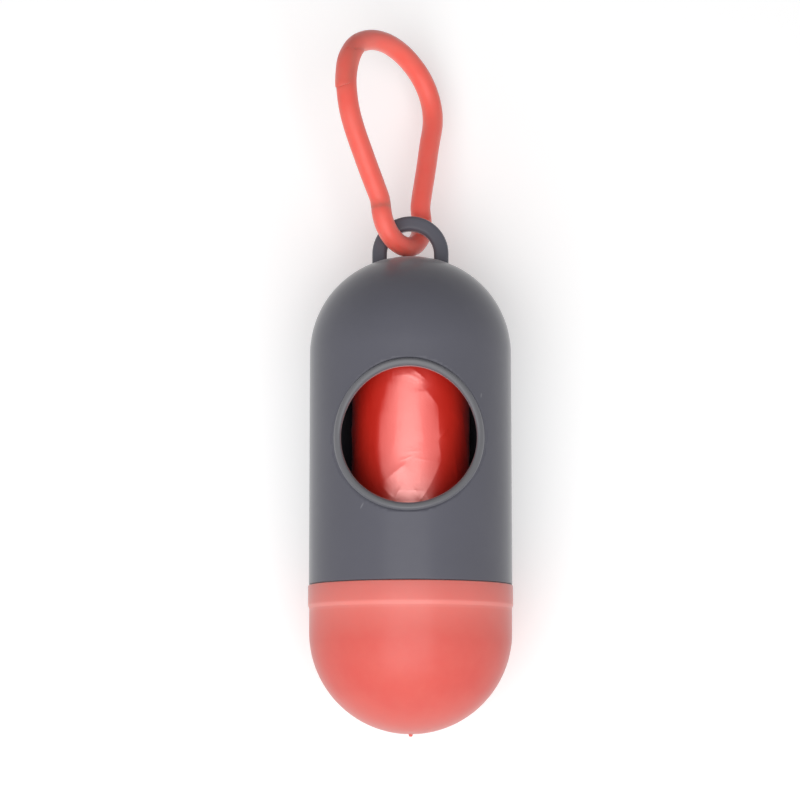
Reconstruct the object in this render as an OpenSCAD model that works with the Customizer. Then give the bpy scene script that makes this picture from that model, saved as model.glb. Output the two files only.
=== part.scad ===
// Capsule dispenser for dog waste bags: a grey case with a round bag window, a translucent
// coral cap, a roll of bags inside and a one-piece plastic clip through the case's eye.
// Millimetres. Origin: centre of the eye. +Z up along the case, the window faces -Y.

/* [Case] */
// Outside radius of the barrel
case_r = 19.0; // [17:0.1:24]
// Wall of the barrel and the cap
wall = 1.5; // [1.2:0.1:1.9]
// Straight length of the barrel, from the seam to where the dome starts
barrel_l = 43.5; // [38:0.5:60]
// Height of the eye's arc centre above the top of the dome
eye_lift = 0.35; // [0:0.05:1]
// Small bevel on the edges at the seam
edge = 0.2; // [0.1:0.05:0.4]

/* [Cap] */
// Straight length of the cap, from the seam to where its dome starts
cap_l = 8.7; // [7:0.1:16]
// Height of the band that grips the neck
collar_h = 4.0; // [3:0.1:6]
// How far the band stands out from the barrel
collar_out = 0.15; // [0.05:0.05:0.5]
// How far the rest of the cap lies inside the barrel's outline
cap_in = 0.07; // [0:0.01:0.4]
// Play of the neck in the cap, on the radius
neck_play = 0.04; // [0.02:0.01:0.08]
// Open line between the barrel and the cap
seam_gap = 0.1; // [0.05:0.05:0.4]
// Radius of the moulding point under the cap
nub_r = 0.35; // [0.2:0.05:0.8]
// How far the moulding point stands out
nub_h = 0.45; // [0.1:0.05:0.8]

/* [Window] */
// Radius of the round opening
window_r = 12.4; // [9:0.1:13.5]
// Height of the opening's centre above the seam
window_up = 26.25; // [20:0.25:28]
// Width of the raised rim round the opening
rim_w = 1.4; // [0.8:0.1:2.2]
// Height of the raised rim
rim_h = 0.6; // [0.2:0.05:0.8]

/* [Eye] */
// Room between the clip's rod and the eye, across the opening
eye_play = 0.75; // [0.7:0.05:1.6]
// Width of the eye's band, seen from the front
eye_w = 2.8; // [2:0.1:4]
// Thickness of the eye's band, front to back
eye_t = 2.5; // [2.1:0.05:2.6]
// Rounding of the eye's edges
eye_edge = 0.8; // [0.7:0.05:1.0]

/* [Clip] */
// Radius of the clip's rod
rod_r = 1.85; // [1.5:0.05:1.9]
// Radius of the bend that passes through the eye
bend_r = 5.98; // [5.9:0.01:6.6]
// Straight length between that bend and the kinks
clip_neck = 2.33; // [2:0.1:5]
// Lean of each leg
spread = 21.6; // [18:0.1:24]
// Radius of the top bend
top_r = 12.83; // [12:0.1:15]
// Turn of the clip about the case's axis
clip_turn = 51; // [50.5:0.1:53]
// Lean of the clip to the back
clip_back = 11; // [10.5:0.1:12]
// Lean of the clip to the left
clip_lean = 10.2; // [9.9:0.1:10.8]
// Sideways place of the bend's centre
clip_x = -1.64; // [-1.7:0.01:-1.5]
// Front-to-back place of the bend's centre
clip_y = -0.18; // [-0.25:0.01:-0.1]
// Open line between the dome's top and the lowest point of the rod
clip_seat = 0.10; // [0.06:0.01:0.3]
// Where the nose of the hook ends, measured along the rod from the gate's hinge
slit_at = 22.9; // [21:0.1:24]
// Length of the slanted overlap of nose and tongue
lap_l = 9.1; // [7:0.1:10]
// Open line between the gate and the hook
gate_gap = 0.25; // [0.2:0.05:0.4]
// How far the tongue swells to the inside of the clip
tongue_out = 0.45; // [0.3:0.05:0.6]

/* [Roll] */
// Number of bags on the roll
bag_n = 15; // [8:1:20]
// Length of one bag
bag_l = 300; // [200:5:320]
// Thickness of one folded bag: eight layers of film
film_t = 0.064; // [0.04:0.002:0.068]
// Width of the roll
roll_l = 62.5; // [50:0.5:66]
// Outside radius of the paper core
core_r = 5.7; // [5:0.1:7]
// Wall of the paper core
core_wall = 0.8; // [0.5:0.05:1.2]
// Room under the roll where it rests in the cap
roll_seat = 0.25; // [0.2:0.05:0.6]
// Air between one bag and the next
wrap_gap = 0.02; // [0.01:0.005:0.03]

/* [Hidden] */
dome_z = -eye_lift - case_r;
seam_z = dome_z - barrel_l;
bore_r = case_r - wall;
collar_r = case_r + collar_out;
socket_r = collar_r - wall;
neck_r = socket_r - neck_play;
neck_in = neck_r - wall * 0.87;
neck_h = collar_h;
cap_top = seam_z - seam_gap;
cap_r = case_r - cap_in;
cap_bore = cap_r - wall;
cap_dome = seam_z - cap_l;
window_z = seam_z + window_up;
eye_r = 2 * rod_r + eye_play;
eye_out = eye_r + eye_w;
roll_r = sqrt(core_r * core_r + bag_n * bag_l * film_t / PI);
roll_z = cap_dome - sqrt(cap_bore * cap_bore - roll_r * roll_r) + roll_seat;

// clip: directions of its plane (s to its right, w along it, b across it)
ax_u = [cos(clip_turn), sin(clip_turn) * cos(clip_back), -sin(clip_turn) * sin(clip_back)];
ax_v = [0, sin(clip_back), cos(clip_back)];
ax_s = ax_u * cos(clip_lean) + ax_v * sin(clip_lean);
ax_w = ax_v * cos(clip_lean) - ax_u * sin(clip_lean);
ax_b = cross(ax_s, ax_w);
clip_z = norm([ax_s[2], ax_w[2]]) * bend_r + rod_r + clip_seat - eye_lift;
top_w = clip_neck + (top_r - bend_r * cos(spread)) / sin(spread);
leg_l = norm([top_r * cos(spread) - bend_r, top_w - top_r * sin(spread) - clip_neck]);
top_l = top_r * (180 + 2 * spread) * PI / 180;
bend_l = bend_r * PI;
end_top = leg_l + top_l;
end_leg = end_top + leg_l;
end_neck = end_leg + clip_neck;
end_bend = end_neck + bend_l;
rod_l = end_bend + clip_neck;
kink = 0.5;
mitre = tan(spread / 2);
slit_k = 0.55;
lap_end = slit_at + lap_l;
arc_n = 15;
flat_n = 5;
ring_n = arc_n + flat_n;
ring_a = 360 / ring_n;

function bag_name(i) = str("bag_", i < 10 ? "0" : "", i);

// radius of the roll once k bags are wound on, k = 0 at the core
function wound_r(k) = sqrt(core_r * core_r + k * bag_l * film_t / PI);

// a place on the rod's centre line and the direction out of the loop there
function at(l) =
    l < leg_l ? [[-bend_r - l * sin(spread), clip_neck + l * cos(spread)],
                 [-cos(spread), -sin(spread)]]
    : l < end_top ? on_arc(top_w, top_r, 180 + spread - (l - leg_l) / top_r * 180 / PI)
    : l < end_leg ? [[bend_r + (end_leg - l) * sin(spread), clip_neck + (end_leg - l) * cos(spread)],
                     [cos(spread), -sin(spread)]]
    : l < end_neck ? [[bend_r, end_neck - l], [1, 0]]
    : l < end_bend ? on_arc(0, bend_r, -(l - end_neck) / bend_r * 180 / PI)
    : [[-bend_r, l - end_bend], [-1, 0]];
function on_arc(w, r, a) = [[r * cos(a), w + r * sin(a)], [cos(a), sin(a)]];

// outline of the rod: a full circle, or the part beyond a flat at c
// side 1 keeps the part outside the flat, side -1 the part inside it, d moves the circle
function outline(full, c, side, d) =
    let (al = full ? 180 - ring_a * (flat_n + 1) / 2 : acos(side * (c - d) / rod_r),
         first = rod_r * [cos(al), -sin(al)],
         last = rod_r * [cos(al), sin(al)])
    [for (k = [0:ring_n - 1])
        let (pt = k < arc_n
                ? rod_r * [cos(-al + 2 * al * k / (arc_n - 1)), sin(-al + 2 * al * k / (arc_n - 1))]
                : full
                ? rod_r * [cos(al + ring_a * (k - arc_n + 1)), sin(al + ring_a * (k - arc_n + 1))]
                : last + (first - last) * (k - arc_n + 1) / (flat_n + 1))
        [side * pt[0] + d, side * pt[1]]];

// one ring: [place along the rod, slant, full, flat, side, shift]
function ring(g) =
    let (m = at(g[0]), n = m[1], t = [n[1], -n[0]])
    [for (pq = outline(g[2], g[3], g[4], g[5]))
        let (f = m[0] + n * pq[0] - t * g[1] * pq[0])
        [clip_x, clip_y, clip_z] + ax_s * f[0] + ax_w * f[1] + ax_b * pq[1]];

module sweep(rings) {
    pts = [for (g = rings) each ring(g)];
    last = len(rings) - 1;
    polyhedron(points = pts, faces = concat(
        [[for (j = [0:ring_n - 1]) j]],
        [for (i = [0:last - 1], j = [0:ring_n - 1]) let (k = (j + 1) % ring_n)
            [i * ring_n + j, (i + 1) * ring_n + j, (i + 1) * ring_n + k]],
        [for (i = [0:last - 1], j = [0:ring_n - 1]) let (k = (j + 1) % ring_n)
            [i * ring_n + j, (i + 1) * ring_n + k, i * ring_n + k]],
        [[for (j = [0:ring_n - 1]) last * ring_n + ring_n - 1 - j]]), convexity = 8);
}

// flat of the nose at the fraction f of the overlap
function nose_c(f) = rod_r * (0.38 - 1.35 * f);

nose_rings = [for (k = [0:6]) let (f = k / 6)
    [slit_at + lap_l * f, k == 0 ? slit_k : 0, false, nose_c(f), 1, 0]];
top_n = 18;
hook_rings = concat(
    nose_rings,
    [for (k = [0:top_n]) let (l0 = lap_end + 0.4)
        [l0 + (end_top - 0.01 - l0) * k / top_n, 0, true, 0, 1, 0]],
    [[end_leg - kink, 0, true, 0, 1, 0], [end_leg + kink, 0, true, 0, 1, 0]],
    [for (k = [0:14]) [end_neck + bend_l * k / 14, 0, true, 0, 1, 0]],
    [[rod_l - gate_gap / 2, mitre, true, 0, 1, 0]]);

gate_top = slit_at - gate_gap;
gate_rings = concat(
    [[gate_gap / 2, -mitre, true, 0, -1, 0], [kink * 2, 0, true, 0, -1, 0]],
    [for (k = [0:4]) [leg_l + (gate_top - 1.4 - leg_l) * k / 4, 0, true, 0, -1, 0]],
    [[gate_top, slit_k, true, 0, -1, 0]],
    [for (k = [0:6]) let (f = k / 6, g = 0.02 + 0.88 * f)
        [slit_at + lap_l * g - gate_gap * (1 - f), k == 0 ? slit_k : 0, false, nose_c(g) - gate_gap, -1,
         -tongue_out * sin(90 * f)]]);

// half of a disc in the right half plane, up or down
module half_disc(r, up) {
    intersection() {
        circle(r = r, $fn = 96);
        translate([0, up > 0 ? 0 : -r]) square([r, r]);
    }
}

module barrel_outline() {
    translate([0, dome_z]) half_disc(case_r, 1);
    polygon([[0, dome_z + 0.01], [0, seam_z - neck_h], [neck_r - 0.3, seam_z - neck_h],
             [neck_r, seam_z - neck_h + 0.3], [neck_r, seam_z], [case_r - edge, seam_z],
             [case_r, seam_z + edge], [case_r, dome_z]]);
}

module barrel_void() {
    translate([0, dome_z]) half_disc(bore_r, 1);
    polygon([[0, dome_z + 0.01], [0, seam_z - neck_h - 1], [neck_in, seam_z - neck_h - 1],
             [neck_in, seam_z + 1.5], [bore_r, seam_z + 1.5 + bore_r - neck_in], [bore_r, dome_z]]);
}

module eye_section() {
    half = eye_t / 2;
    translate([eye_r, -half + eye_edge]) square([eye_w, eye_t - 2 * eye_edge]);
    translate([eye_r + eye_edge, -half]) square([eye_w - 2 * eye_edge, eye_t]);
    for (x = [eye_r + eye_edge, eye_out - eye_edge], y = [-half + eye_edge, half - eye_edge])
        translate([x, y]) circle(r = eye_edge, $fn = 24);
}

module eye() {
    foot = -dome_z - sqrt(case_r * case_r - eye_out * eye_out - eye_t * eye_t / 4) + 0.3;
    rotate([90, 0, 0]) rotate_extrude(angle = 180, $fn = 64) eye_section();
    for (m = [0, 1]) mirror([m, 0, 0])
        translate([0, 0, -foot]) linear_extrude(height = foot) eye_section();
}

module window_rim() {
    tall = 2 * (window_r + rim_w) + 2;
    intersection() {
        translate([0, 0, window_z]) rotate([90, 0, 0])
            cylinder(r = window_r + rim_w, h = case_r + 3, $fn = 96);
        translate([0, 0, window_z - tall / 2]) difference() {
            cylinder(r = case_r + rim_h, h = tall, $fn = 96);
            translate([0, 0, -1]) cylinder(r = case_r - wall / 2, h = tall + 2, $fn = 96);
        }
    }
}

module barrel() {
    color([0.41, 0.41, 0.44]) difference() {
        union() {
            rotate_extrude($fn = 96) barrel_outline();
            window_rim();
            eye();
        }
        rotate_extrude($fn = 96) barrel_void();
        translate([0, -case_r / 2, window_z]) rotate([90, 0, 0])
            cylinder(r = window_r, h = case_r, $fn = 96);
    }
}

module cap_outline() {
    translate([0, cap_dome]) half_disc(cap_r, -1);
    polygon([[0, cap_dome - 0.01], [cap_r, cap_dome], [cap_r, cap_top - collar_h - edge],
             [collar_r, cap_top - collar_h], [collar_r, cap_top - edge],
             [collar_r - edge, cap_top], [0, cap_top]]);
}

module cap_void() {
    floor_z = cap_top - neck_h - 0.2;
    translate([0, cap_dome]) half_disc(cap_bore, -1);
    polygon([[0, cap_dome - 0.01], [cap_bore, cap_dome], [cap_bore, floor_z],
             [socket_r, floor_z], [socket_r, cap_top + 1], [0, cap_top + 1]]);
}

module cap() {
    color([0.93, 0.42, 0.38]) union() {
        rotate_extrude($fn = 96) difference() {
            cap_outline();
            cap_void();
        }
        translate([0, 0, cap_dome - cap_r - nub_h]) cylinder(r = nub_r, h = nub_h + wall / 2, $fn = 24);
    }
}

module clip_hook() {
    color([1.0, 0.39, 0.35]) sweep(hook_rings);
}

module clip_gate() {
    color([1.0, 0.39, 0.35]) sweep(gate_rings);
}

module tube(ro, ri) {
    translate([0, 0, roll_z]) difference() {
        cylinder(r = ro, h = roll_l, $fn = 64);
        translate([0, 0, -1]) cylinder(r = ri, h = roll_l + 2, $fn = 64);
    }
}

module roll_core() {
    color([0.78, 0.66, 0.50]) tube(core_r - wrap_gap, core_r - core_wall);
}

// bag i, counted from the outside of the roll
module bag(i) {
    color([0.95, 0.33, 0.30]) tube(wound_r(bag_n + 1 - i) - wrap_gap, wound_r(bag_n - i));
}

barrel();
cap();
clip_hook();
clip_gate();
roll_core();
for (i = [1:bag_n]) bag(i);
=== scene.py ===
"""Looks of a capsule dispenser for waste bags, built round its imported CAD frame.

Sizes are in millimetres, in the part's own frame: the origin is the centre of the eye,
+Z runs up along the case and the window faces -Y.
"""

import math

import bmesh
import bpy
import numpy as np
from mathutils import Matrix, Vector


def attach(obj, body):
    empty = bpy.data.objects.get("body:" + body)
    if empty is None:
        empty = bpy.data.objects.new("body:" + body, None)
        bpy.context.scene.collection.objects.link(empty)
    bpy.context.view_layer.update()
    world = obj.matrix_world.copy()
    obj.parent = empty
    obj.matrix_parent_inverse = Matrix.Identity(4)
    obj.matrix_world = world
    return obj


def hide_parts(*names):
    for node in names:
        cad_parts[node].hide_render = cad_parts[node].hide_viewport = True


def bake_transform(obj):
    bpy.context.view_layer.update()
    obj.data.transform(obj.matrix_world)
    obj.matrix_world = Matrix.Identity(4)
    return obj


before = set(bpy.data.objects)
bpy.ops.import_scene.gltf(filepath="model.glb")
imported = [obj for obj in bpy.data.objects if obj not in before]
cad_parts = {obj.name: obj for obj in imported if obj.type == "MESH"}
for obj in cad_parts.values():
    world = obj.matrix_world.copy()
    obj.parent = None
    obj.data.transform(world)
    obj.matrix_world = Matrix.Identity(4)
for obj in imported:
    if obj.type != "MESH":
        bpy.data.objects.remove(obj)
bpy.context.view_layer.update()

MM = 0.001
TAU = 2 * math.pi

# ---------------------------------------------------------------- sizes, as in part.scad
CASE_R = 19.0
WALL = 1.5
BARREL_L = 43.5
EYE_LIFT = 0.35
DOME_Z = -EYE_LIFT - CASE_R
SEAM_Z = DOME_Z - BARREL_L
BORE_R = CASE_R - WALL

COLLAR_OUT = 0.15
COLLAR_H = 4.0
CAP_L = 8.7
CAP_IN = 0.07
SEAM_GAP = 0.1
NECK_PLAY = 0.04
COLLAR_R = CASE_R + COLLAR_OUT
SOCKET_R = COLLAR_R - WALL
NECK_R = SOCKET_R - NECK_PLAY
NECK_IN = NECK_R - WALL * 0.87
CAP_TOP = SEAM_Z - SEAM_GAP
CAP_R = CASE_R - CAP_IN
CAP_BORE = CAP_R - WALL
CAP_DOME = SEAM_Z - CAP_L
NUB_R = 0.35
NUB_H = 0.45

WINDOW_R = 12.4
WINDOW_UP = 26.25
WINDOW_Z = SEAM_Z + WINDOW_UP
RIM_W = 1.4
RIM_H = 0.6

ROD_R = 1.85
EYE_PLAY = 0.75
EYE_R = 2 * ROD_R + EYE_PLAY
EYE_W = 2.8
EYE_T = 2.5
EYE_EDGE = 0.8

BAGS = 15
BAG_L = 300
FILM_T = 0.064
BAG_AREA = BAG_L * FILM_T  # of one folded bag, seen from its end
CORE_R = 5.7
ROLL_L = 62.5
ROLL_SEAT = 0.25
ROLL_R = math.sqrt(CORE_R**2 + BAGS * BAG_AREA / math.pi)
ROLL_Z = CAP_DOME - math.sqrt(CAP_BORE**2 - ROLL_R**2) + ROLL_SEAT
OUTER_BAGS = 3  # as many bags as the creased outer piece stands for


# ---------------------------------------------------------------- lines and meshes
def sin(degrees):
    return math.sin(math.radians(degrees))


def cos(degrees):
    return math.cos(math.radians(degrees))


def arc(cx, cy, r, start, end, count):
    """Points of an arc in a plane, angles in degrees."""
    return [(cx + r * cos(a), cy + r * sin(a)) for a in np.linspace(start, end, count)]


def rounded(points, radii, n=4):
    """An open run of corners in a plane, with each inner corner rounded by its radius."""
    out = [points[0]]
    for before, at, after, r in zip(points, points[1:], points[2:], radii):
        p, a, b = np.array(at), np.array(before), np.array(after)
        u, v = (a - p) / np.linalg.norm(a - p), (b - p) / np.linalg.norm(b - p)
        half = math.acos(np.clip(np.dot(u, v), -1, 1)) / 2
        reach = r / math.tan(half)
        centre = p + (u + v) / np.linalg.norm(u + v) * r / math.sin(half)
        start, end = p + u * reach - centre, p + v * reach - centre
        turn = math.pi - 2 * half
        side = 1 if start[0] * end[1] - start[1] * end[0] > 0 else -1
        for k in range(n + 1):
            t = side * turn * k / n
            out.append((centre[0] + start[0] * math.cos(t) - start[1] * math.sin(t),
                        centre[1] + start[0] * math.sin(t) + start[1] * math.cos(t)))
    out.append(points[-1])
    return out


def subdivide(run, step):
    """The same run with no stretch longer than step."""
    out = [run[0]]
    for a, b in zip(run, run[1:]):
        n = max(1, math.ceil(math.dist(a, b) / step))
        out += [(a[0] + (b[0] - a[0]) * k / n, a[1] + (b[1] - a[1]) * k / n) for k in range(1, n + 1)]
    return out


def lathe(profile, cols):
    """Rings of points for a run of (radius, height)."""
    profile = np.array(profile)
    a = np.arange(cols) * TAU / cols - math.pi / 2
    rings = np.empty((len(profile), cols, 3))
    rings[..., :2] = profile[:, None, :1] * np.stack([np.cos(a), np.sin(a)], -1)
    rings[..., 2] = profile[:, None, 1]
    return rings


def grid_faces(rows, cols, keep=None):
    """Quads between rows of points, closed round the columns."""
    out = []
    for i in range(rows - 1):
        for j in range(cols):
            if keep is None or keep[i, j]:
                k = (j + 1) % cols
                out.append((i * cols + j, i * cols + k, (i + 1) * cols + k, (i + 1) * cols + j))
    return out


def tube_faces(rows, cols, keep=None):
    """The grid with a face on each end."""
    last = (rows - 1) * cols
    ends = [tuple(reversed(range(cols))), tuple(range(last, last + cols))]
    return grid_faces(rows, cols, keep) + ends


def loop_faces(rows, cols, keep=None):
    """The grid with its last row joined to its first."""
    last = (rows - 1) * cols
    closing = [(last + j, last + (j + 1) % cols, (j + 1) % cols, j) for j in range(cols)]
    return grid_faces(rows, cols, keep) + closing


def flipped(faces):
    return [tuple(reversed(f)) for f in faces]


def joined(parts):
    """Points and faces of several meshes as one."""
    points, faces, count = [], [], 0
    for more, more_faces in parts:
        points.append(more)
        faces += [tuple(count + i for i in f) for f in more_faces]
        count += len(more)
    return np.vstack(points), faces


def make(name, points, faces, material, crease=40.0):
    """A smooth shaded object from points in millimetres, with sharp edges over crease degrees."""
    mesh = bpy.data.meshes.new(name)
    mesh.from_pydata([tuple(p) for p in np.asarray(points, float) * MM], [], faces)
    mesh.validate()
    mesh.materials.append(material)
    mesh.polygons.foreach_set("use_smooth", [True] * len(mesh.polygons))
    mesh.set_sharp_from_angle(angle=math.radians(crease))
    mesh.update()
    ob = bpy.data.objects.new(name, mesh)
    bpy.context.scene.collection.objects.link(ob)
    return ob


# ---------------------------------------------------------------- materials
class Nodes:
    """The nodes of a material or a world, with short calls to add and join them."""

    def __init__(self, owner, output="ShaderNodeOutputMaterial", where="Object"):
        owner.use_nodes = True
        self.owner = owner
        self.tree = owner.node_tree
        self.tree.nodes.clear()
        self.out = self.add(output)
        self.where = self.add("ShaderNodeTexCoord").outputs[where]

    def add(self, kind, sockets=None, **props):
        node = self.tree.nodes.new(kind)
        for key, value in props.items():
            setattr(node, key, value)
        for key, value in (sockets or {}).items():
            self.feed(node.inputs[key], value)
        return node

    def feed(self, socket, value):
        if isinstance(value, bpy.types.NodeSocket):
            self.tree.links.new(value, socket)
        else:
            socket.default_value = value

    def finish(self, shader):
        self.feed(self.out.inputs["Surface"], shader.outputs[0])
        return self.owner

    def noise(self, scale, detail=2.0, rough=0.5, vector=None, distortion=0.0):
        sockets = {"Vector": vector or self.where, "Scale": scale, "Detail": detail,
                   "Roughness": rough, "Distortion": distortion}
        return self.add("ShaderNodeTexNoise", sockets).outputs["Fac"]

    def math(self, operation, a, b=0.0, c=0.0, clamp=False):
        node = self.add("ShaderNodeMath", {0: a, 1: b, 2: c}, operation=operation, use_clamp=clamp)
        return node.outputs[0]

    def ramp(self, fac, stops):
        node = self.add("ShaderNodeValToRGB", {"Fac": fac})
        parts = node.color_ramp.elements
        while len(parts) < len(stops):
            parts.new(0.5)
        for part, (at, colour) in zip(parts, stops):
            part.position = at
            part.color = colour
        return node.outputs["Color"]

    def mix(self, fac, a, b):
        node = self.add("ShaderNodeMix", {"Factor": fac}, data_type="RGBA")
        self.feed(node.inputs[6], a)
        self.feed(node.inputs[7], b)
        return node.outputs[2]

    def span(self, value, low, high, to_low=0.0, to_high=1.0):
        """The value from low to high, brought to the span from to_low to to_high."""
        sockets = {"Value": value, "From Min": low, "From Max": high, "To Min": to_low, "To Max": to_high}
        return self.add("ShaderNodeMapRange", sockets).outputs["Result"]

    def axes(self):
        return self.add("ShaderNodeSeparateXYZ", {0: self.where}).outputs

    def bump(self, height, distance, strength=1.0, normal=None):
        node = self.add("ShaderNodeBump", {"Height": height, "Distance": distance, "Strength": strength})
        if normal is not None:
            self.feed(node.inputs["Normal"], normal)
        return node.outputs["Normal"]

    def specks(self, scale, size, share):
        """1 on a small round speck in that share of the cells, 0 elsewhere."""
        cell = self.add("ShaderNodeTexVoronoi", {"Vector": self.where, "Scale": scale}, feature="F1")
        near = self.span(cell.outputs["Distance"], size, size * 0.4)
        pick = self.add("ShaderNodeSeparateColor", {0: cell.outputs["Color"]}).outputs[0]
        return self.math("MULTIPLY", near, self.math("GREATER_THAN", pick, 1 - share), clamp=True)

    def plastic(self, **sockets):
        """The finished material, from the Principled shader's sockets by name."""
        names = {key.replace("_", " "): value for key, value in sockets.items()}
        return self.finish(self.add("ShaderNodeBsdfPrincipled", names))


def linear(*rgb):
    """A colour of the screen, 0 to 255, as the renderer counts it."""
    c = [v / 255 for v in rgb]
    return tuple(v / 12.92 if v <= 0.04045 else ((v + 0.055) / 1.055) ** 2.4 for v in c) + (1.0,)


# scuffs on the front of the case: across, up, half length, half width, lean in degrees
SCUFFS = ((13.25, -28.95, 0.55, 0.14, 84), (-8.43, -49.45, 0.75, 0.17, 62))


def grey_plastic():
    n = Nodes(bpy.data.materials.new("grey_plastic"))
    x, y, z = n.axes()
    front = n.math("LESS_THAN", y, 0.0)
    base = n.mix(n.noise(90, 3, 0.55), linear(89, 89, 98), linear(94, 94, 104))
    specks = n.math("MULTIPLY", n.specks(150, 0.030, 0.16), 0.5)
    base = n.mix(specks, base, linear(150, 150, 154))
    # painted highlight: the bead round the window is painted a little paler, for the light that its curve
    # catches
    up = n.math("SUBTRACT", z, WINDOW_Z * MM)
    away = n.math("SQRT", n.math("ADD", n.math("MULTIPLY", x, x), n.math("MULTIPLY", up, up)))
    off = n.math("ABSOLUTE", n.math("SUBTRACT", away, (WINDOW_R + RIM_W / 2) * MM))
    bead = n.math("MULTIPLY", n.span(off, 0.75 * MM, 0.35 * MM), front)
    base = n.mix(bead, base, linear(110, 110, 114))
    for across, height, length, width, tilt in SCUFFS:
        u = n.math("SUBTRACT", x, across * MM)
        v = n.math("SUBTRACT", z, height * MM)
        along = n.math("ADD", n.math("MULTIPLY", u, cos(tilt)), n.math("MULTIPLY", v, sin(tilt)))
        aside = n.math("SUBTRACT", n.math("MULTIPLY", v, cos(tilt)), n.math("MULTIPLY", u, sin(tilt)))
        along = n.math("POWER", n.math("DIVIDE", along, length * MM), 2)
        aside = n.math("POWER", n.math("DIVIDE", aside, width * MM), 2)
        scuff = n.math("MULTIPLY", n.span(n.math("ADD", along, aside), 1.0, 0.2), front)
        base = n.mix(n.math("MULTIPLY", scuff, 0.6), base, linear(132, 132, 138))
    normal = n.bump(n.noise(2600, 2, 0.6), 0.02 * MM, 0.35)
    normal = n.bump(n.noise(260, 2, 0.5), 0.06 * MM, 0.25, normal)
    rough = n.span(n.noise(500, 3), 0.3, 0.7, 0.64, 0.72)
    return n.plastic(
        Base_Color=base, Roughness=rough, IOR=1.3, Normal=normal, Sheen_Weight=0.3, Sheen_Roughness=0.4,
        Coat_Weight=0.9, Coat_Roughness=0.28, Coat_IOR=1.25)


def cap_plastic():
    n = Nodes(bpy.data.materials.new("cap_plastic"))
    bottom = CAP_DOME - CAP_R
    height = n.span(n.axes()["Z"], bottom * MM, CAP_TOP * MM)
    # the step under the collar catches the light as a pale line
    line = 1 - (COLLAR_H + 0.02) / (CAP_TOP - bottom)
    base = n.ramp(height, [
        (0.0, linear(224, 104, 96)), (0.30, linear(221, 90, 81)), (0.62, linear(225, 97, 88)),
        (line - 0.035, linear(235, 122, 113)), (line - 0.008, linear(240, 140, 132)),
        (line + 0.008, linear(240, 140, 132)), (line + 0.025, linear(232, 123, 115)),
        (1.0, linear(222, 118, 110))])
    cloud = n.span(n.noise(140, 4, 0.6), 0.35, 0.75, 0.0, 0.16)
    base = n.mix(cloud, base, linear(240, 140, 128))
    specks = n.math("MULTIPLY", n.specks(170, 0.028, 0.12), 0.6)
    base = n.mix(specks, base, linear(250, 200, 184))
    normal = n.bump(n.noise(2400, 2, 0.6), 0.02 * MM, 0.3)
    return n.plastic(
        Base_Color=base, Roughness=0.62, IOR=1.3, Normal=normal,
        Subsurface_Weight=0.5, Subsurface_Radius=(1.0, 0.3, 0.25), Subsurface_Scale=1.0 * MM,
        Coat_Weight=1.0, Coat_Roughness=0.3, Coat_IOR=1.3)


def clip_plastic():
    n = Nodes(bpy.data.materials.new("clip_plastic"))
    cloud = n.span(n.noise(160, 3), 0.3, 0.7)
    base = n.mix(cloud, linear(255, 104, 90), linear(255, 113, 99))
    normal = n.bump(n.noise(1800, 2, 0.6), 0.02 * MM, 0.3)
    return n.plastic(
        Base_Color=base, Roughness=0.5, IOR=1.35, Normal=normal,
        Sheen_Weight=0.35, Sheen_Roughness=0.45, Sheen_Tint=(1.0, 0.6, 0.55, 1.0),
        Subsurface_Weight=0.8, Subsurface_Radius=(1.0, 0.15, 0.12), Subsurface_Scale=2.0 * MM,
        Coat_Weight=0.8, Coat_Roughness=0.3, Coat_IOR=1.3)


def bag_film():
    n = Nodes(bpy.data.materials.new("bag_film"))
    drawn_out = n.add("ShaderNodeMapping", {"Vector": n.where, "Scale": (1.0, 1.0, 0.16)}).outputs[0]
    fold = n.span(n.noise(420, 3, 0.6, drawn_out, 0.4), 0.3, 0.7)
    base = n.mix(fold, linear(252, 38, 19), linear(255, 50, 31))
    normal = n.bump(n.noise(900, 4, 0.6, None, 0.8), 0.06 * MM, 0.5)
    normal = n.bump(n.noise(900, 2, 0.5, drawn_out), 0.07 * MM, 0.5, normal)
    return n.plastic(
        Base_Color=base, Roughness=0.32, IOR=2.8, Specular_Tint=(1.0, 0.46, 0.42, 1.0), Normal=normal,
        Coat_Weight=0.75, Coat_Roughness=0.38, Coat_IOR=2.2)


def core_board():
    n = Nodes(bpy.data.materials.new("core_board"))
    base = n.mix(n.noise(700, 5, 0.7), linear(168, 138, 100), linear(206, 180, 142))
    normal = n.bump(n.noise(1500, 4, 0.7), 0.1 * MM, 0.5)
    return n.plastic(Base_Color=base, Roughness=0.85, Normal=normal)


def stage_white(lift):
    """White and matt, lit a little by itself so that it shows white, and clear from behind."""
    n = Nodes(bpy.data.materials.new("stage_white"))
    matt = n.add("ShaderNodeBsdfDiffuse", {"Color": (0.90, 0.90, 0.90, 1)})
    glow = n.add("ShaderNodeEmission", {"Color": (1, 1, 1, 1), "Strength": lift})
    both = n.add("ShaderNodeAddShader", {0: matt.outputs[0], 1: glow.outputs[0]})
    clear = n.add("ShaderNodeBsdfTransparent")
    behind = n.add("ShaderNodeNewGeometry").outputs["Backfacing"]
    return n.finish(n.add("ShaderNodeMixShader", {0: behind, 1: both.outputs[0], 2: clear.outputs[0]}))


GREY = grey_plastic()
CORAL = cap_plastic()
CLIP = clip_plastic()
FILM = bag_film()
BOARD = core_board()

# ---------------------------------------------------------------- barrel
DOME_FLAT = 0.36  # how far the dome's top lies under a half ball's
DOME_EASE = 2.8  # the larger, the closer to the top the dome leaves the half ball
POLE = 89.6  # degrees, where a dome's rings end and one face closes it
SHELL_COLS = 240
SHELL_STEP = 0.5
NECK_END = SEAM_Z - 4.0
FLARE_Z = SEAM_Z + 1.5  # inside, where the neck's bore starts to widen to the barrel's
EYE_FOOT, EYE_ARC = -2.2, -0.2  # heights of the legs' lower ends, and of their upper ends
RIM_COLS = 220


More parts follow.
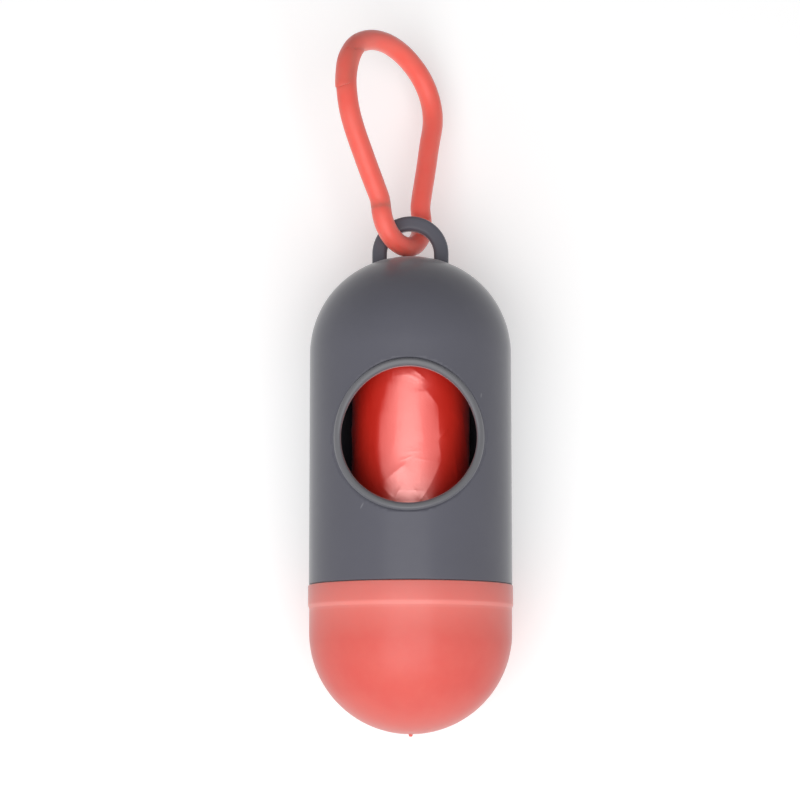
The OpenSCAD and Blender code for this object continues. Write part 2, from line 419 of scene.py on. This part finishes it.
def dome(radius, start, end, count):
    """An arc of the dome, counted from its foot, a little flatter near the top than a half ball."""
    return [(r, z - DOME_FLAT * max(0, (z - DOME_Z) / radius)**DOME_EASE)
            for r, z in arc(0, DOME_Z, radius, start, end, count)]


def shell_profile():
    """From the dome's top down outside, round the neck and up inside to the top again."""
    edge = (CASE_R, SEAM_Z + 0.6)
    run = dome(CASE_R, POLE, 0, 44)
    run += subdivide([(CASE_R, DOME_Z), edge], SHELL_STEP)[1:]
    neck = [edge, (CASE_R, SEAM_Z), (NECK_R, SEAM_Z), (NECK_R, NECK_END),
            (NECK_IN, NECK_END), (NECK_IN, SEAM_Z)]
    run += rounded(neck, [0.22, 0.1, 0.3, 0.3])[1:]
    flare = [(NECK_IN, SEAM_Z), (NECK_IN, FLARE_Z),
             (BORE_R, FLARE_Z + BORE_R - NECK_IN), (BORE_R, SEAM_Z + 5)]
    run += rounded(flare, [0.2, 0.2], 3)[1:]
    run += subdivide([run[-1], (BORE_R, DOME_Z)], SHELL_STEP)[1:]
    return run + dome(BORE_R, 0, POLE, 40)[1:]


def shell():
    """The case's wall inside and out, with a round hole in each for the window."""
    rings = lathe(shell_profile(), SHELL_COLS)
    radius = np.hypot(rings[..., 0], rings[..., 1])
    away = np.hypot(rings[..., 0], rings[..., 2] - WINDOW_Z)
    # the hole ends under the rim's skirt outside, and behind the opening's edge inside
    hole = np.where(radius > CASE_R - WALL / 2, WINDOW_R + RIM_W + 0.35, WINDOW_R + 0.7)
    inside = (rings[..., 1] < 0) & (radius > BORE_R - 0.1) & (away < hole)
    pair = inside & np.roll(inside, -1, 1)
    drop = pair[:-1] & pair[1:]
    # points on the border of the hole move out to its circle
    lost, kept = np.zeros(inside.shape, bool), np.zeros(inside.shape, bool)
    for di in (0, 1):
        for dj in (0, 1):
            lost[di:di + drop.shape[0]] |= np.roll(drop, dj, 1)
            kept[di:di + drop.shape[0]] |= np.roll(~drop, dj, 1)
    border = lost & kept & inside
    grow = hole / np.maximum(away, 1e-6)
    x = rings[..., 0] * grow
    z = WINDOW_Z + (rings[..., 2] - WINDOW_Z) * grow
    rings[..., 0] = np.where(border, x, rings[..., 0])
    rings[..., 1] = np.where(border, -np.sqrt(np.maximum(radius**2 - x**2, 0)), rings[..., 1])
    rings[..., 2] = np.where(border, z, rings[..., 2])
    faces = flipped(tube_faces(len(rings), SHELL_COLS, ~drop))
    used = sorted({i for f in faces for i in f})
    index = {old: new for new, old in enumerate(used)}
    return rings.reshape(-1, 3)[used], [tuple(index[i] for i in f) for f in faces]


def window_rim():
    """The rim round the window: a bead, a fine groove outside it, and the edge of the opening."""
    low, high = WINDOW_R, WINDOW_R + RIM_W
    # radius in the window's plane, and height over the barrel
    bead = rounded([(low + 0.13, -WALL), (low - 0.04, RIM_H), (high, RIM_H), (high, -0.06)], [0.92, 0.45], 8)
    groove = [(high + 0.10, -0.24), (high + 0.26, -0.05), (high + 0.42, -0.02)]
    run = bead + groove + [(high + 0.8, -0.4), (low + 0.75, -WALL)]
    turn = np.arange(RIM_COLS) * TAU / RIM_COLS
    rings = np.empty((len(run), RIM_COLS, 3))
    for k, (r, height) in enumerate(run):
        if abs(k - len(bead)) < 2:  # the groove runs out at the rim's left and right
            height = height * np.abs(np.sin(turn))**1.5
        rings[k, :, 0] = r * np.cos(turn)
        rings[k, :, 2] = WINDOW_Z + r * np.sin(turn)
        rings[k, :, 1] = -np.sqrt((CASE_R + height)**2 - rings[k, :, 0]**2)
    return rings.reshape(-1, 3), loop_faces(len(run), RIM_COLS)


def eye():
    """A rounded band along two legs, which end under the dome's surface, and a half ring."""
    inner, outer, edge = EYE_R + EYE_EDGE, EYE_R + EYE_W - EYE_EDGE, EYE_T / 2 - EYE_EDGE
    corners = ((outer, edge, 0), (inner, edge, 90), (inner, -edge, 180), (outer, -edge, 270))
    x, y = np.array([p for cx, cy, a in corners for p in arc(cx, cy, EYE_EDGE, a, a + 90, 7)]).T
    leg = np.linspace(EYE_FOOT, EYE_ARC, 5)
    rings = [np.stack([x, y, np.full(len(x), z)], -1) for z in leg]
    rings += [np.stack([x * math.cos(a), y, x * math.sin(a)], -1) for a in np.linspace(0, math.pi, 61)]
    rings += [np.stack([-x, y, np.full(len(x), z)], -1) for z in leg[::-1]]
    return np.vstack(rings), tube_faces(len(rings), len(x))


def barrel():
    """The case, the rim and the eye as one piece, closed by the wall of the hole inside the rim."""
    ob = make("case_barrel", *joined([shell(), window_rim(), eye()]), GREY, 50)
    mesh = bmesh.new()
    mesh.from_mesh(ob.data)
    bmesh.ops.bridge_loops(mesh, edges=[e for e in mesh.edges if e.is_boundary])
    bmesh.ops.recalc_face_normals(mesh, faces=mesh.faces)
    mesh.to_mesh(ob.data)
    mesh.free()
    return ob


# ---------------------------------------------------------------- cap
CAP_COLS = 224


def cap():
    """A hollow cap: the run goes down outside to the moulding point, then up inside."""
    low = CAP_TOP - COLLAR_H
    mouth, under = (SOCKET_R, CAP_TOP - 1), (CAP_R, low - 1.4)
    collar = [mouth, (SOCKET_R, CAP_TOP), (COLLAR_R, CAP_TOP),
              (COLLAR_R, low + 0.32), (CAP_R, low - 0.34), under]
    outer = rounded(collar, [0.15, 0.2, 0.2, 0.3], 5)
    outer += subdivide([under, (CAP_R, CAP_DOME)], 1.0)[1:]
    outer += arc(0, CAP_DOME, CAP_R, 0, -88.6, 56)[1:]
    tip = CAP_DOME - CAP_R
    nub = [outer[-1], (NUB_R, tip + 0.02), (NUB_R, tip - NUB_H), (0.02, tip - NUB_H)]
    outer += rounded(nub, [0.12, 0.2])[1:-1]
    ledge = CAP_TOP - 4.2
    socket = [(CAP_BORE, CAP_DOME), (CAP_BORE, ledge), (SOCKET_R, ledge), mouth]
    inner = arc(0, CAP_DOME, CAP_BORE, -89.5, 0, 44)
    inner += rounded(socket, [0.1, 0.1], 2)[1:-1]
    rings = lathe(outer + inner, CAP_COLS)
    # no faces from the moulding point's end to the bottom inside: one face closes each of the two
    keep = np.ones((len(rings) - 1, CAP_COLS), bool)
    keep[len(outer) - 1] = False
    faces = loop_faces(len(rings), CAP_COLS, keep)
    seam = len(outer) * CAP_COLS
    faces += [tuple(range(seam - CAP_COLS, seam)), tuple(reversed(range(seam, seam + CAP_COLS)))]
    return make("end_cap", rings.reshape(-1, 3), flipped(faces), CORAL, 50)


# ---------------------------------------------------------------- clip, its sizes as in part.scad
BEND_R = 5.98
CLIP_NECK = 2.33
SPREAD = 21.6
TOP_R = 12.83
CLIP_TURN = 51
CLIP_BACK = 11
CLIP_LEAN = 10.2
CLIP_X = -1.64
CLIP_Y = -0.18
CLIP_SEAT = 0.10
NOSE_AT = 22.9  # along the rod, where the nose ends
TIP_AT = 30.4  # and where the gate's tongue ends
HINGE_BACK = 1.6  # where the bending piece starts, before the hinge
SHOW_GAP = 0.02  # the slit as it shows

# the clip's plane: sideways, up along the clip, and out of it
LEVEL = np.array([cos(CLIP_TURN), sin(CLIP_TURN) * cos(CLIP_BACK), -sin(CLIP_TURN) * sin(CLIP_BACK)])
STEEP = np.array([0, sin(CLIP_BACK), cos(CLIP_BACK)])
CLIP_S = LEVEL * cos(CLIP_LEAN) + STEEP * sin(CLIP_LEAN)
CLIP_W = STEEP * cos(CLIP_LEAN) - LEVEL * sin(CLIP_LEAN)
CLIP_B = np.cross(CLIP_S, CLIP_W)
CLIP_UP = math.hypot(CLIP_S[2], CLIP_W[2]) * BEND_R + ROD_R + CLIP_SEAT - EYE_LIFT
CLIP_O = np.array([CLIP_X, CLIP_Y, CLIP_UP])

# lengths along the rod, from the gate's hinge up the leg, over the top, down and through the eye
TOP_W = CLIP_NECK + (TOP_R - BEND_R * cos(SPREAD)) / sin(SPREAD)
LEG_L = math.hypot(TOP_R * cos(SPREAD) - BEND_R, TOP_W - TOP_R * sin(SPREAD) - CLIP_NECK)
END_TOP = LEG_L + TOP_R * math.radians(180 + 2 * SPREAD)
END_LEG = END_TOP + LEG_L
END_NECK = END_LEG + CLIP_NECK
END_BEND = END_NECK + BEND_R * math.pi
LOOP_L = END_BEND + CLIP_NECK

# place along the rod, and how far the moulded rod strays outwards there from the plain line
HOOK_OUT = (
    (0, 0), (22, -0.22), (25.5, -0.12), (28, 0.15), (30.5, 0.25), (33, 0.36), (35.5, 0.20), (38, 0.04),
    (40.5, -0.09), (45.5, -0.18), (48, -0.09), (50.5, 0.02), (53, 0.30), (55.5, 0.50), (58, 0.60),
    (60.5, 0.54), (63, 0.30), (65.5, -0.05), (68, -0.13), (73, -0.03), (80.5, -0.08), (86, 0.0),
    (89, 0.2), (92.5, 0.30), (96, 0.2), (99, 0.05), (101, 0), (106, 0))
GATE_OUT = (
    (-6, 0), (0.5, 0), (3, 0.10), (5.5, 0.15), (8, 0.18), (13, 0.16), (15.5, -0.03), (18, -0.36),
    (20.5, -0.54), (22.9, -0.50), (25.5, -0.42), (28, -0.26), (30.5, 0.0), (33, 0.1))
# place along the rod, and its thickness there as a share of the solid's
ROD_SIZE = (
    (-6, 1.03), (0, 1.03), (4, 1.055), (42, 1.055), (46, 1.08), (62, 1.08), (68, 1.055), (80, 1.05),
    (86, 1.03), (106, 1.03))
# place along the rod, and the lean of its rings towards the slit's ends
RING_LEAN = ((19.5, 0), (NOSE_AT, 0.55), (TIP_AT, 1.1), (36.0, 0))

ARC_N = 34  # points of a ring on the rod's round side
FLAT_N = 10  # and on the slit's flat side
RING_N = ARC_N + FLAT_N


def on_path(at):
    """The rod's centre line in the clip's plane, counted from the gate's hinge, round and round."""
    at %= LOOP_L
    if at < LEG_L:
        return -BEND_R - at * sin(SPREAD), CLIP_NECK + at * cos(SPREAD)
    if at < END_TOP:
        a = 180 + SPREAD - math.degrees((at - LEG_L) / TOP_R)
        return TOP_R * cos(a), TOP_W + TOP_R * sin(a)
    if at < END_LEG:
        return BEND_R + (END_LEG - at) * sin(SPREAD), CLIP_NECK + (END_LEG - at) * cos(SPREAD)
    if at < END_NECK:
        return BEND_R, END_NECK - at
    if at < END_BEND:
        a = -math.degrees((at - END_NECK) / BEND_R)
        return BEND_R * cos(a), BEND_R * sin(a)
    return -BEND_R, at - END_BEND


def eased(table, at, reach=1.2):
    """A value read from a table of places, averaged over a short stretch."""
    places, values = zip(*table)
    return float(np.mean([np.interp(at + d, places, values) for d in np.linspace(-reach, reach, 7)]))


def rod_point(at, table, reach=0.8):
    """The moulded rod's centre, with the line's two kinks eased over a short stretch."""
    here = np.mean([on_path(at + d) for d in np.linspace(-reach, reach, 11)], axis=0)
    step = np.array(on_path(at + 0.4)) - np.array(on_path(at - 0.4))
    step /= np.linalg.norm(step)
    return here + np.array([-step[1], step[0]]) * eased(table, at)


def station(at, table):
    """A point of the rod in the clip's plane, with the directions outwards and along."""
    step = rod_point(at + 0.05, table) - rod_point(at - 0.05, table)
    step /= np.linalg.norm(step)
    return rod_point(at, table), np.array([-step[1], step[0]]), step


def lean(at):
    """How far a ring leans along the rod, as a slope."""
    return float(np.interp(at, *zip(*RING_LEAN)))


def cut_point(at, out):
    """A point of the slit, so far outwards from the rod's centre."""
    here, outward, _ = station(at, HOOK_OUT)
    return here + out * outward


# the slit is a straight cut in the clip's plane, through these two points
CUT_FROM = cut_point(NOSE_AT, 0.45)
CUT_STEP = cut_point(TIP_AT, 0.85) - CUT_FROM


def outline(r, flat=None, side=1):
    """The rod's outline: round, or cut by a flat with what lies outside (1) or inside (-1) kept."""
    spacing = 360 / RING_N
    half = 180 - spacing * (FLAT_N + 1) / 2
    if flat is not None:
        half = math.degrees(math.acos(np.clip(side * flat / r, -0.98, 0.98)))
    first, last = np.array([cos(half), -sin(half)]), np.array([cos(half), sin(half)])
    points = []
    for k in range(RING_N):
        beyond = k - ARC_N + 1
        if beyond <= 0:
            a = -half + 2 * half * k / (ARC_N - 1)
            points.append([cos(a), sin(a)])
        elif flat is None:
            a = half + spacing * beyond
            points.append([cos(a), sin(a)])
        else:
            points.append(last + (first - last) * beyond / (FLAT_N + 1))
    return side * np.array(points) * r


def clip_ring(at, table, slant, cut_gap=None, side=1, squash=None):
    """One ring of the rod, whole or with a flat side that stays cut_gap away from the cut.

    squash draws the ring in by a share, about its inner side ("in") or about its flat ("cut").
    """
    here, outward, forward = station(at, table)
    r = ROD_R * eased(ROD_SIZE, at)
    flat = None
    if cut_gap is not None:
        across = outward - forward * slant
        reach, _ = np.linalg.solve(np.stack([across, -CUT_STEP], -1), CUT_FROM - here)
        flat = reach + side * cut_gap
    pq = outline(r, flat, side)
    if squash:
        about = -r if squash[0] == "in" else flat
        pq = np.stack([about + (pq[:, 0] - about) * squash[1], pq[:, 1] * squash[1]], -1)
    f = here + pq[:, :1] * outward - forward * slant * pq[:, :1]
    return CLIP_O + f[:, :1] * CLIP_S + f[:, 1:] * CLIP_W + pq[:, 1:] * CLIP_B


def onto(face, gap, at, **ring):
    """A ring of the gate pushed along the rod until it lies a gap short of a face of the hook."""
    slant = lean(at)
    points = clip_ring(at, GATE_OUT, slant, side=-1, **ring)
    forward = station(at, GATE_OUT)[2]
    way = forward[0] * CLIP_S + forward[1] * CLIP_W
    normal = np.cross(face[RING_N // 3] - face[0], face[2 * RING_N // 3] - face[0])
    normal /= np.linalg.norm(normal)
    push = ((face[0] - points) @ normal - gap * np.sign(normal @ way)) / (normal @ way)
    return points + np.outer(push, way)


def tube(name, rings):
    rings = np.array(rings)
    return make(name, rings.reshape(-1, 3), tube_faces(*rings.shape[:2]), CLIP, 50)


# rings of the nose's rounded end: how far past it, and their size about the flat
NOSE_END = ((0, 0.92), (0.09, 0.95), (0.22, 0.977), (0.38, 0.993))
STEP_AT = TIP_AT + 0.35  # where the hook is whole again, past the tongue


def clip():
    """The hook from its nose round to the hinge, and the gate from the hinge to its tongue."""
    nose = [clip_ring(NOSE_AT + d, HOOK_OUT, lean(NOSE_AT), SHOW_GAP, squash=("cut", f)) for d, f in NOSE_END]
    lap = [clip_ring(at, HOOK_OUT, lean(at), SHOW_GAP) for at in np.linspace(NOSE_AT + 0.65, STEP_AT, 24)]
    rest = [clip_ring(at, HOOK_OUT, lean(at)) for at in np.linspace(STEP_AT + 0.02, LOOP_L - HINGE_BACK, 180)]
    hook = tube("clip_hook_body", nose + lap + rest)

    arm = [clip_ring(at, GATE_OUT, lean(at), side=-1) for at in np.linspace(-HINGE_BACK, NOSE_AT - 0.4, 64)]
    shoulder = [
        onto(nose[0], 0.12, NOSE_AT),
        onto(nose[0], SHOW_GAP, NOSE_AT, squash=("in", 0.992)),
        onto(nose[0], SHOW_GAP, NOSE_AT, cut_gap=SHOW_GAP)]
    tongue_at = np.linspace(NOSE_AT, TIP_AT, 24)[2:] - 0.05
    tongue = [clip_ring(at, GATE_OUT, lean(at), SHOW_GAP, -1) for at in tongue_at]
    tip = [
        onto(lap[-1], 0.12, TIP_AT, cut_gap=SHOW_GAP),
        onto(lap[-1], SHOW_GAP, TIP_AT, cut_gap=SHOW_GAP, squash=("cut", 0.985))]
    gate = tube("clip_gate_arm", arm + shoulder + tongue + tip)
    return hook, gate


def clip_point(at):
    """A point on the rod's line, in metres."""
    s, w = on_path(at)
    return tuple((CLIP_O + s * CLIP_S + w * CLIP_W) * MM)


# ---------------------------------------------------------------- roll of bags
# folds of the film in the window: from (round, up) to (round, up), height, then its reach on
# the left and on the right
FILM_CREASES = (
    (-5.45, -44.8, -0.8, -41.3, 0.11, 0.9, 1.4),
    (-1.6, -40.6, 0.3, -39.9, 0.024, 0.18, 0.15),
    (-0.2, -39.0, 1.7, -38.9, 0.018, 0.2, 0.12),
    (1.4, -40.2, 5.2, -40.8, 0.022, 0.25, 0.2),
    (1.9, -27.9, 3.3, -27.6, 0.03, 0.4, 0.5),
    (3.3, -27.6, 5.6, -30.4, 0.12, 1.1, 0.9),
    (5.6, -30.4, 5.8, -36.0, 0.10, 1.2, 1.2),
    (5.8, -36.4, 7.5, -34.8, 0.09, 0.5, 0.4),
    (5.7, -37.0, 6.2, -40.0, 0.10, 1.1, 0.9),
    (6.2, -40.6, 4.2, -44.6, 0.08, 1.1, 1.0),
    (4.2, -44.6, 2.3, -47.8, 0.06, 0.6, 0.8),
    (-2.9, -24.9, -0.2, -24.5, 0.035, 1.0, 0.8),
    (-0.2, -24.5, 2.6, -25.9, 0.05, 0.8, 0.7),
    (0.5, -23.4, 2.9, -25.3, 0.09, 0.5, 0.5),
    (-3.3, -23.3, -3.2, -25.0, 0.05, 0.5, 0.4),
    (-2.9, -47.9, -1.8, -45.9, 0.08, 0.35, 0.5),
    (1.2, -46.2, 2.1, -47.9, 0.08, 0.4, 0.35),
    (-5.3, -45.4, -3.2, -47.3, 0.06, 0.5, 0.5),
    (-5.8, -31.6, -4.0, -25.4, 0.08, 1.0, 1.2),
    (-6.2, -39.2, -5.9, -31.4, 0.11, 1.0, 1.3),
    (-5.2, -43.8, -6.2, -39.6, 0.09, 1.0, 1.2),
    (1.6, -27.5, 2.7, -36.5, 0.03, 1.4, 1.7),
    (-2.0, -29.0, -2.8, -38.0, 0.018, 1.2, 0.9))
RANDOM_CREASES = 210
# slack waves of the film: how many go round, where they start, and their twist for each mm up
SLACK = ((2, 0.3, 0.05), (3, 1.9, -0.08), (5, 4.0, 0.11), (7, 2.2, -0.19))
FINE_HALF = 10.5  # half the width of the stretch that the window shows, with close points
FINE_LOW = -50.0
ROLL_TOP = ROLL_Z + ROLL_L
FILM_LOW, FILM_HIGH = -0.62, 0.14  # how deep and how high the film may stray from its radius


def crease(across, up, x0, z0, x1, z1, depth, left, right):
    """Height of a fold along a line, falling away at its ends and on each side of it."""
    tail = 0.35
    vx, vz = x1 - x0, z1 - z0
    length = math.hypot(vx, vz)
    along = ((across - x0) * vx + (up - z0) * vz) / length
    aside = (-(across - x0) * vz + (up - z0) * vx) / length
    fade = 1 / (1 + np.exp(-along / tail)) / (1 + np.exp((along - length) / tail))
    blunt = (0.5 if max(x0, x1) < -3.9 else 0.10) * min(left, right)  # folds on the left are blunter
    return depth * fade * np.exp((blunt - np.hypot(aside, blunt)) / np.where(aside > 0, left, right))


def random_crease(rng):
    """A fold anywhere on the roll, and next to none where the listed ones are."""
    x0, z0 = rng.uniform(-math.pi, math.pi) * ROLL_R, ROLL_Z + rng.uniform(2, ROLL_L - 2)
    angle, length = rng.normal(math.pi / 2, 0.8), rng.uniform(2, 8)
    depth, spread = rng.uniform(0.03, 0.12), rng.uniform(0.4, 1.3)
    if abs(x0) < 9 and -53 < z0 < -22:
        depth *= 0.05
    end = x0 + length * math.cos(angle), z0 + length * math.sin(angle)
    return x0, z0, *end, depth, spread, rng.uniform(0.4, 1.3)


def roll():
    """The outer bags as one creased film, with close points where the window shows it."""
    half = FINE_HALF / ROLL_R
    turn = np.concatenate([np.linspace(-half, half, 168), np.linspace(half, TAU - half, 132)[1:-1]])
    z = np.concatenate([
        ROLL_Z + np.linspace(0, 1, 9)**2 * 2, np.arange(ROLL_Z + 3, FINE_LOW - 0.2, 1.0),
        np.arange(FINE_LOW, ROLL_TOP - 0.9, 0.15), ROLL_TOP - np.linspace(1, 0, 9)**2 * 0.8])
    across, up = np.meshgrid(((turn + math.pi) % TAU - math.pi) * ROLL_R, z)
    height = np.zeros_like(across)
    rng = np.random.default_rng(7)
    for line in [*FILM_CREASES, *(random_crease(rng) for _ in range(RANDOM_CREASES))]:
        height += crease(across, up, *line)
    slack = sum(0.018 * np.sin(k * across / ROLL_R + p + q * up) for k, p, q in SLACK)
    # the film is drawn in towards the window's lower edge
    sag = 0.135 * np.clip(-46.2 - up, 0, 2.0) * np.exp(-(across / 3.3)**4)
    height += slack - sag
    end = np.minimum(up - ROLL_Z, ROLL_TOP - up)
    height = np.clip(height, FILM_LOW, FILM_HIGH) * np.clip(end / 2, 0, 1)
    radius = ROLL_R - FILM_HIGH - 0.005 + height - 0.7 * np.exp(-(end / 0.45)**1.2)
    bore = math.sqrt(ROLL_R**2 - OUTER_BAGS * BAG_AREA / math.pi)
    radius = np.vstack([radius, np.full((2, len(turn)), bore)])
    up = np.vstack([up, np.full(len(turn), ROLL_TOP), np.full(len(turn), ROLL_Z)])
    a = turn - math.pi / 2
    rings = np.stack([radius * np.cos(a), radius * np.sin(a), up], -1)
    return make("bag_film_outer", rings.reshape(-1, 3), loop_faces(*rings.shape[:2]), FILM, 60)


# ---------------------------------------------------------------- pieces on their bodies
case_barrel = barrel()
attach(case_barrel, "case")
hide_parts("barrel")

end_cap = cap()
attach(end_cap, "cap")
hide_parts("cap")

hook_body, gate_arm = clip()
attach(hook_body, "hook")
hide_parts("clip_hook")

clip_point(-1.3)
clip_point(1.9)
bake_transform(gate_arm)
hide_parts("clip_gate")

outer_bag = roll()
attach(outer_bag, "roll")
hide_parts(*(f"bag_{i:02d}" for i in range(1, OUTER_BAGS + 1)))


def dress(node, material):
    """A better material for a CAD node that stays."""
    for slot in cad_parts[node].material_slots:
        slot.material = material


for i in range(OUTER_BAGS + 1, BAGS + 1):
    dress(f"bag_{i:02d}", FILM)
dress("roll_core", BOARD)


# ---------------------------------------------------------------- stage, light and camera
FLOOR_Y = 19.8  # the photograph's floor, just under the back of the case that lies on it
FLOOR_FAR = 1500

floor = make("floor", [(-FLOOR_FAR, FLOOR_Y, -FLOOR_FAR), (FLOOR_FAR, FLOOR_Y, -FLOOR_FAR),
                       (FLOOR_FAR, FLOOR_Y, FLOOR_FAR), (-FLOOR_FAR, FLOOR_Y, FLOOR_FAR)],
             [(0, 1, 2, 3)], stage_white(0.26))
floor.visible_diffuse = False
floor.visible_glossy = False
floor.visible_transmission = False
floor.visible_shadow = False


def studio():
    """Pale where the camera or a reflection sees it, and soft light all round.

    The light is strongest from the floor's side and weakest from the clip's end.
    """
    n = Nodes(bpy.data.worlds.new("studio"), "ShaderNodeOutputWorld", "Generated")
    x, y, z = n.axes()
    level = n.math("MULTIPLY_ADD", x, -0.06, 0.95)
    level = n.math("MULTIPLY_ADD", y, 0.45, level)
    level = n.math("MULTIPLY_ADD", z, n.math("MULTIPLY_ADD", z, -1.0, -0.60), level)
    level = n.math("MAXIMUM", level, 0.05)
    soft = n.add("ShaderNodeBackground", {"Strength": level})
    pale = n.add("ShaderNodeBackground", {"Strength": 1.0})
    ray = n.add("ShaderNodeLightPath").outputs
    seen = n.math("MAXIMUM", ray["Is Glossy Ray"], ray["Is Transmission Ray"])
    seen = n.math("MAXIMUM", ray["Is Camera Ray"], seen)
    return n.finish(n.add("ShaderNodeMixShader", {0: seen, 1: soft.outputs[0], 2: pale.outputs[0]}))


def aimed(name, data, place, direction):
    """An object at a place, looking along a direction."""
    ob = bpy.data.objects.new(name, data)
    bpy.context.scene.collection.objects.link(ob)
    ob.location = place
    ob.rotation_mode = "QUATERNION"
    ob.rotation_quaternion = direction.to_track_quat("-Z", "Y")
    return ob


def key_lamp():
    """One broad soft lamp in front of the window."""
    data = bpy.data.lights.new("key", "AREA")
    data.shape = "RECTANGLE"
    data.size, data.size_y = 0.46, 0.50
    data.energy = 1.92
    place, target = Vector((-0.016, -0.43, -0.22)), Vector((0, 0, -0.04))
    return aimed("key", data, place, target - place)


# the photograph's view: the lens and the place come from the seam's ellipse and the outline
VIEW_AZ = 1.5
VIEW_EL = -7.55
DISTANCE = 475.5
LOOK_AT = (-1.98, 0.0, -27.95)
LENS_PX = 2520.0  # the lens in pixels of the frame
FRAME_PX = 800
SENSOR = 36.0


def photo_camera():
    """The camera as it stood for the photograph."""
    data = bpy.data.cameras.new("camera")
    data.sensor_width = SENSOR
    data.lens = LENS_PX / FRAME_PX * SENSOR
    data.clip_start, data.clip_end = 0.01, 20.0
    turn = Matrix.Rotation(math.radians(VIEW_AZ), 3, "Z")
    ahead = turn @ Vector((0, cos(VIEW_EL), -sin(VIEW_EL)))
    return aimed("camera", data, (turn @ Vector(LOOK_AT) - ahead * DISTANCE) * MM, ahead)


bpy.context.scene.world = studio()
key_lamp()
bpy.context.scene.camera = photo_camera()
bpy.context.scene.view_settings.view_transform = "Standard"
